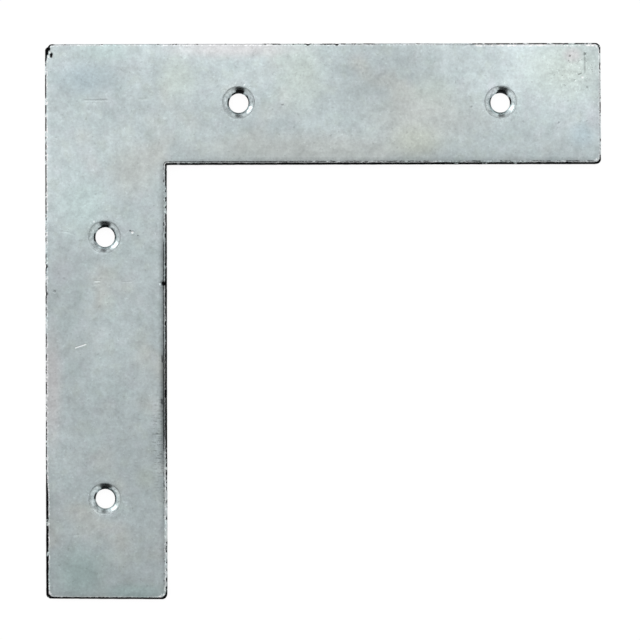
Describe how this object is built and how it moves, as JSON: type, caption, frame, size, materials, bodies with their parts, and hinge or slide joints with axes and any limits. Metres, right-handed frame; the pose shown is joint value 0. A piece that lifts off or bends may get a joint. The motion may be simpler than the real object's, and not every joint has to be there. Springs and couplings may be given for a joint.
{
  "type": "flat corner brace",
  "caption": "Flat L-shaped corner brace of zinc-plated steel, with countersunk screw holes along both legs, for joining two rails that meet at a right angle.",
  "frame": {"origin": "on the back face, where the two rows of screw holes cross, 10.85 mm in from both outer edges", "axes": "+Z out of the front face, the one with the countersinks; one leg runs along +X and the other along -Y"},
  "size_m": [0.1017, 0.1017, 0.002],
  "materials": {
    "zinc_plated_steel": "satin"
  },
  "bodies": {
    "root": {"corner_plate": "zinc_plated_steel"}
  },
  "joints": []
}
